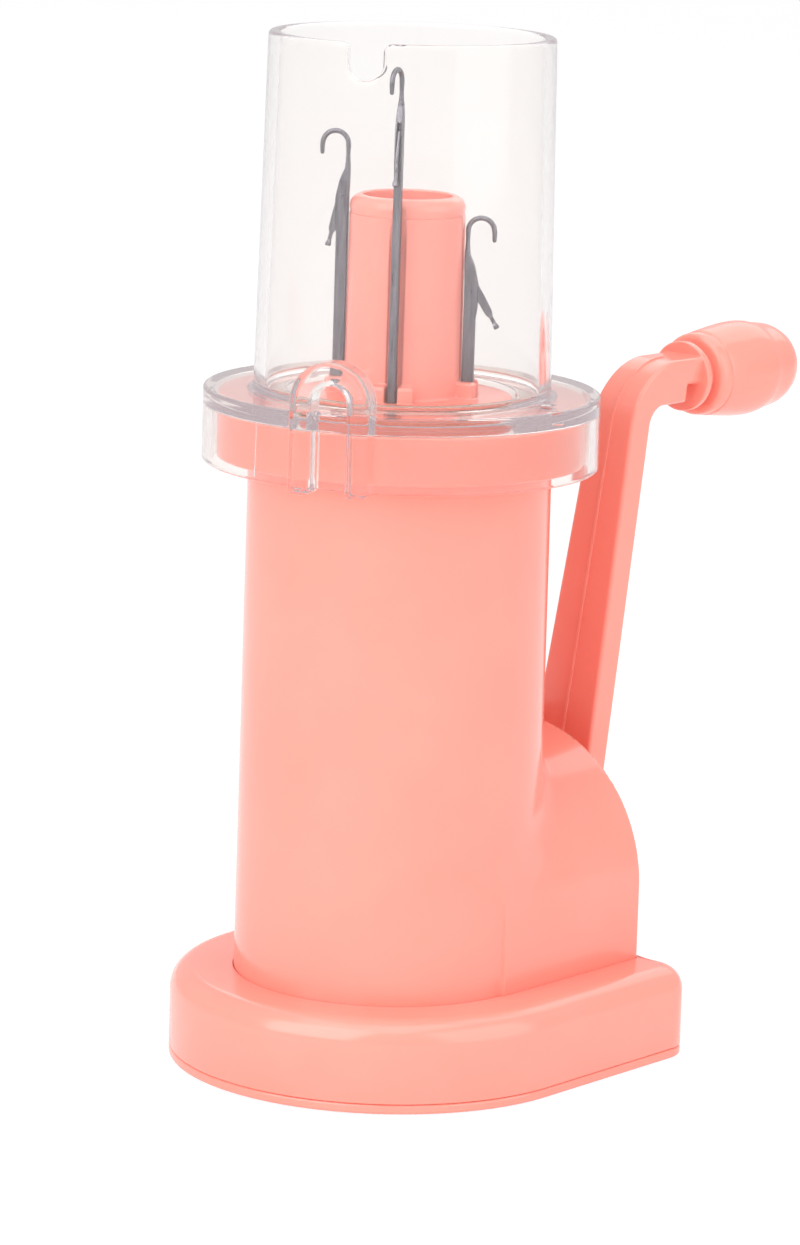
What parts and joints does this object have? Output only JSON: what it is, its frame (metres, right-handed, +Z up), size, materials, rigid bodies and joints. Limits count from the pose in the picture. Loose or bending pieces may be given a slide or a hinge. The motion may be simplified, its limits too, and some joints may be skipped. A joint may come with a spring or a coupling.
{
  "type": "cord knitting mill",
  "caption": "Hand-cranked cord knitting mill: latch needles in a turning cylinder inside a clear guard, on a round tower with a foot, a rear crank with a spinning knob, and a yarn guide.",
  "frame": {"origin": "middle of the bounding box's footprint, on the plane the base stands on; the tower's own axis is 20.45 mm towards -Y from it", "axes": "+Z up along the tower, +Y from the tower towards the crank at the back, +X to the right seen from the yarn guide's side, the side the crank leans to"},
  "size_m": [0.057, 0.098, 0.136],
  "materials": {
    "pink_plastic": "glossy moulded, salmon pink",
    "clear_plastic": "clear, polished",
    "needle_steel": "bright drawn steel",
    "zinc_steel": "zinc plated",
    "nylon": "natural, unpainted"
  },
  "bodies": {
    "frame": {"base_shell": "pink_plastic", "bottom_cover": "pink_plastic", "cover_screw_1": "zinc_steel", "cover_screw_2": "zinc_steel", "cover_screw_3": "zinc_steel", "cover_screw_4": "zinc_steel", "tower_shell": "pink_plastic", "clear_guard": "clear_plastic", "cam_lower": "nylon", "cam_upper": "nylon", "shaft_bush": "nylon", "thrust_washer": "zinc_steel"},
    "crank": {"drive_gear": "nylon", "crank_shaft": "zinc_steel", "crank_arm": "pink_plastic", "crank_screw": "zinc_steel", "knob_screw": "zinc_steel"},
    "grip": {"knob": "pink_plastic"},
    "cylinder": {"needle_cylinder": "pink_plastic"},
    "needle_body_1": {"needle_1": "needle_steel", "rivet_1": "needle_steel"},
    "latch_body_1": {"latch_1": "needle_steel"},
    "needle_body_2": {"needle_2": "needle_steel", "rivet_2": "needle_steel"},
    "latch_body_2": {"latch_2": "needle_steel"},
    "needle_body_3": {"needle_3": "needle_steel", "rivet_3": "needle_steel"},
    "latch_body_3": {"latch_3": "needle_steel"},
    "needle_body_4": {"needle_4": "needle_steel", "rivet_4": "needle_steel"},
    "latch_body_4": {"latch_4": "needle_steel"}
  },
  "joints": [
    {"name": "crank_turn", "type": "hinge", "parent": "frame", "child": "crank", "pos_m": [0, -0.02045, 0.0216], "axis": [0, 1, 0], "continuous": true},
    {"name": "cylinder_turn", "type": "hinge", "parent": "frame", "child": "cylinder", "pos_m": [0, -0.02045, 0.06], "axis": [0, 0, 1], "continuous": true},
    {"name": "knob_spin", "type": "hinge", "parent": "crank", "child": "grip", "pos_m": [0.00961, 0.03755, 0.0882], "axis": [0, 1, 0], "continuous": true},
    {"name": "needle_1_rise", "type": "slide", "parent": "cylinder", "child": "needle_body_1", "axis": [0, 0, 1], "range_m": [-0.0232, 0.00005]},
    {"name": "latch_1_swing", "type": "hinge", "parent": "needle_body_1", "child": "latch_body_1", "pos_m": [0.0046, -0.02789, 0.12385], "axis": [-0.8504, -0.5262, 0], "range_deg": [0, 125]},
    {"name": "needle_2_rise", "type": "slide", "parent": "cylinder", "child": "needle_body_2", "axis": [0, 0, 1], "range_m": [-0.0141, 0.00915]},
    {"name": "latch_2_swing", "type": "hinge", "parent": "needle_body_2", "child": "latch_body_2", "pos_m": [-0.00744, -0.02505, 0.11475], "axis": [-0.5262, 0.8504, 0], "range_deg": [0, 131]},
    {"name": "needle_3_rise", "type": "slide", "parent": "cylinder", "child": "needle_body_3", "axis": [0, 0, 1], "range_m": [-0.0037, 0.01958]},
    {"name": "latch_3_swing", "type": "hinge", "parent": "needle_body_3", "child": "latch_body_3", "pos_m": [0.00744, -0.01585, 0.10431], "axis": [0.5262, -0.8504, 0], "range_deg": [0, 115]},
    {"name": "needle_4_rise", "type": "slide", "parent": "cylinder", "child": "needle_body_4", "axis": [0, 0, 1], "range_m": [-0.0008, 0.02249]},
    {"name": "latch_4_swing", "type": "hinge", "parent": "needle_body_4", "child": "latch_body_4", "pos_m": [-0.0046, -0.01301, 0.1014], "axis": [0.8504, 0.5262, 0], "range_deg": [0, 125]}
  ],
  "couplings": [
    {"joint": "cylinder_turn", "follows": "crank_turn", "ratio": -1}
  ]
}
